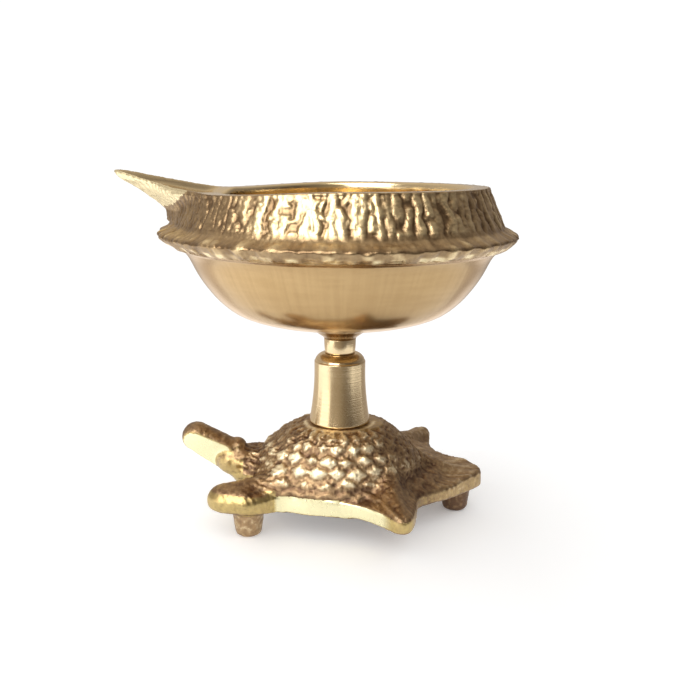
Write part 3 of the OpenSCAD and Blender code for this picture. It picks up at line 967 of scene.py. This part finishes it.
def make_washer():
    low, high = washer_low[2] / MM, washer_high[2] / MM
    r = (washer_high[0] - washer_low[0]) / 2 / MM
    points, faces, _ = lathe(rounded([(BORE_R, low), (r, low), (r, high), (BORE_R, high)], 0.2), 96)
    add_mesh("flat_washer", points, faces, [STEEL], "root", "washer")


make_bowl()
make_tortoise()
make_stem()
make_collar()
make_rod()
make_washer()
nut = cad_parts["nut"]
nut.data.materials.clear()
nut.data.materials.append(STEEL)

# ---------------------------------------------------------------- floor, light and camera, in metres
FLOOR_X, FLOOR_Y = (-0.22, 0.16), (-0.10, 0.045)
FLOOR_Z = -0.00002
WARM = (1.0, 0.98, 0.95)
LENS, SENSOR = 42.685714, 36
PITCH, YAW, ROLL = math.radians(13.417382), math.radians(0.710983), math.radians(0.5)
CAMERA_AT = (AXIS_X, -0.2003, 0.0903)


def make_floor():
    """A pale floor just below the feet, with a glow that grows towards the head's side."""
    mesh = bpy.data.meshes.new("floor")
    corners = [(0, 0), (1, 0), (1, 1), (0, 1)]
    mesh.from_pydata([(FLOOR_X[i], FLOOR_Y[j], FLOOR_Z) for i, j in corners], [], [(0, 1, 2, 3)])
    floor = bpy.data.objects.new("floor", mesh)
    bpy.context.scene.collection.objects.link(floor)
    material, tree, shader, place = new_material("floor", metallic=0.0)
    shader["Base Color"].default_value = (0.93, 0.93, 0.93, 1)
    shader["Roughness"].default_value = 1.0
    shader["Specular IOR Level"].default_value = 0.0
    shader["Emission Color"].default_value = (1, 1, 1, 1)
    across = node(tree, "ShaderNodeSeparateXYZ", {"Vector": place}).outputs[0]
    across = plus(tree, times(tree, across, 2.5), 0.5)
    glow = ramp(tree, across, [(0.1, grey(0.62)), (0.42, grey(0.34)), (0.62, grey(0.13))])
    tree.links.new(glow, shader["Emission Strength"])
    mesh.materials.append(material)


def softbox(name, place, aim, size, glow):
    """A soft rectangular light of that radiance. It shows only in the metal; the world lights the floor."""
    light = bpy.data.lights.new(name, "AREA")
    light.shape = "RECTANGLE"
    light.size, light.size_y = size
    light.energy = glow * math.pi * size[0] * size[1]
    light.color = WARM
    lamp = bpy.data.objects.new(name, light)
    lamp.location = place
    lamp.rotation_euler = (Vector(aim) - Vector(place)).to_track_quat("-Z", "Y").to_euler()
    lamp.visible_diffuse = False
    lamp.visible_camera = False
    bpy.context.scene.collection.objects.link(lamp)


def make_world():
    """White all round, except for what the metal mirrors: that is a dim room, by direction."""
    world = bpy.data.worlds.new("studio")
    bpy.context.scene.world = world
    world.use_nodes = True
    tree = world.node_tree
    tree.nodes.clear()
    way = node(tree, "ShaderNodeTexCoord").outputs["Generated"]
    x, y, z = node(tree, "ShaderNodeSeparateXYZ", {"Vector": way}).outputs
    down = math_node(tree, "SUBTRACT", 0.08, z)
    aside = math_node(tree, "ABSOLUTE", x)

    def blend(how, a, b):
        return mix_colour(tree, 1.0, a, b, how)

    # Bright on the left, and a little more behind the lamp and above it
    side = ramp(tree, plus(tree, times(tree, x, 0.5), 0.5),
                [(0.1, (0.36, 0.32, 0.28)), (0.45, (0.34, 0.29, 0.23)), (0.85, (0.07, 0.055, 0.045))])
    depth = ramp(tree, plus(tree, times(tree, y, 0.5), 0.5),
                 [(0.15, grey(0.0)), (0.95, (0.22, 0.20, 0.19))])
    above = ramp(tree, z, [(0.3, grey(0.0)), (0.95, (0.20, 0.18, 0.15))])

    # The pale floor as the metal mirrors it: behind the lamp and to its two sides, most of all steeply down
    below = ramp(tree, down, [(0.0, grey(0.0)), (0.18, (1.0, 0.96, 0.92))])
    steep = fade(tree, down, 0.30, 0.50)
    behind = blend("MULTIPLY", fade(tree, y, 0.60, 0.85), steep)
    flank = fade(tree, aside, 0.35, 0.75, 0.0, 0.14)
    beside = blend("MULTIPLY", fade(tree, aside, 0.45, 0.80, 0.0, 0.75), steep)
    lit = blend("LIGHTEN", behind, blend("LIGHTEN", flank, beside))
    high_and_low = blend("ADD", above, blend("MULTIPLY", below, lit))
    room = blend("ADD", blend("ADD", side, depth), high_and_low)

    room = node(tree, "ShaderNodeBackground", {"Color": room, "Strength": 1.0}).outputs[0]
    white = node(tree, "ShaderNodeBackground", {"Color": (1, 1, 1, 1), "Strength": 1.06}).outputs[0]
    mirrored = node(tree, "ShaderNodeLightPath").outputs["Is Glossy Ray"]
    both = node(tree, "ShaderNodeMixShader", {0: mirrored, 1: white, 2: room}).outputs[0]
    node(tree, "ShaderNodeOutputWorld", {"Surface": both})


def make_camera():
    data = bpy.data.cameras.new("camera")
    data.sensor_width = SENSOR
    data.lens = LENS
    camera = bpy.data.objects.new("camera", data)
    bpy.context.scene.collection.objects.link(camera)
    level = math.cos(PITCH)
    forward = Vector((math.sin(YAW) * level, math.cos(YAW) * level, -math.sin(PITCH)))
    right = Vector((math.cos(YAW), -math.sin(YAW), 0))
    up = right.cross(forward)
    rolled_right = right * math.cos(ROLL) + up * math.sin(ROLL)
    rolled_up = up * math.cos(ROLL) - right * math.sin(ROLL)
    turn = Matrix((rolled_right, rolled_up, -forward)).transposed().to_4x4()
    camera.matrix_world = Matrix.Translation(CAMERA_AT) @ turn
    bpy.context.scene.camera = camera


make_floor()
softbox("key", (-0.21, -0.40, 0.37), (0, 0, 0.08), (0.44, 0.56), 4.0)
softbox("low", (-0.36, -0.20, 0.03), (0, 0, 0.03), (0.30, 0.16), 1.35)
make_world()
make_camera()
bpy.context.scene.view_settings.view_transform = "Standard"
